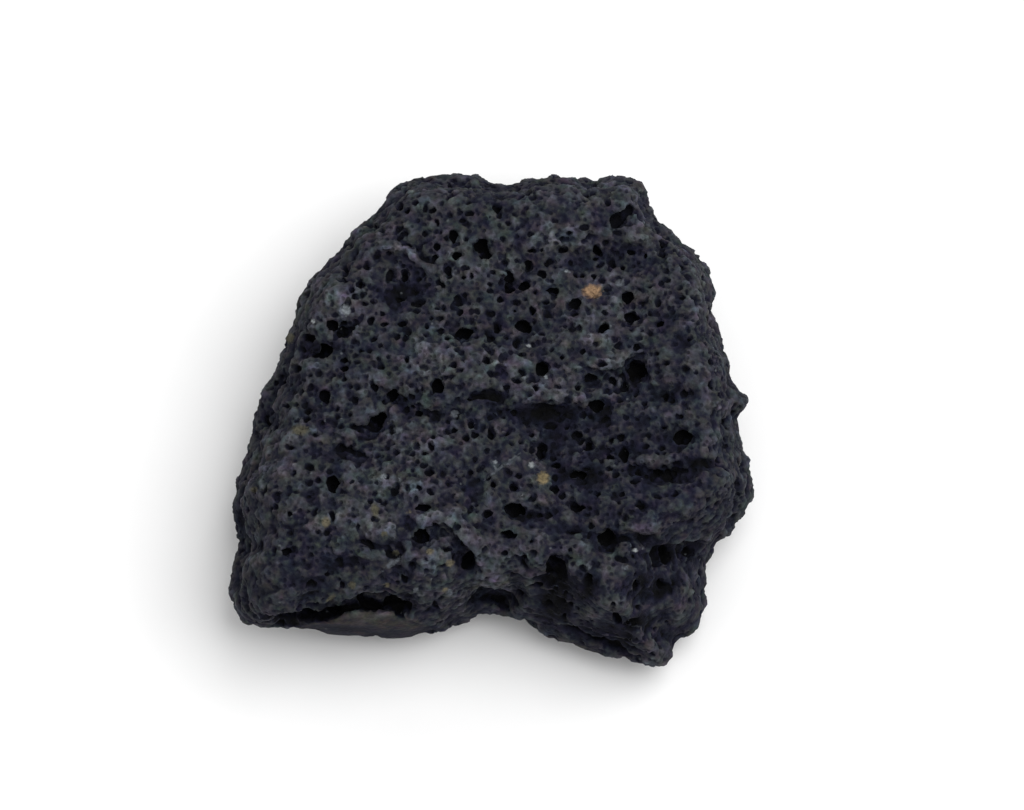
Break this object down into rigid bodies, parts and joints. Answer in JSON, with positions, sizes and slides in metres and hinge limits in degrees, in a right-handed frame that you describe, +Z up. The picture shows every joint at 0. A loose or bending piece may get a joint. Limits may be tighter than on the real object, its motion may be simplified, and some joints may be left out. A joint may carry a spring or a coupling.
{
  "type": "carbonaceous chondrite meteorite",
  "caption": "Broken dark stony meteorite fragment, pitted where chondrules have fallen out, with ledges and crevices, resting on a small flat spot.",
  "frame": {"origin": "middle of the stone's box, on the surface that it rests on", "axes": "+X to the right in the picture, along the longest side; +Y away from the viewer; +Z up, across the thin way"},
  "size_m": [0.03, 0.0284, 0.0113],
  "materials": {
    "chondrite_matrix": "broken, fine-grained dark blue-grey matrix, dull, pitted, with a few pale, tan and yellow grains"
  },
  "bodies": {
    "root": {"meteorite": "chondrite_matrix"}
  },
  "joints": []
}
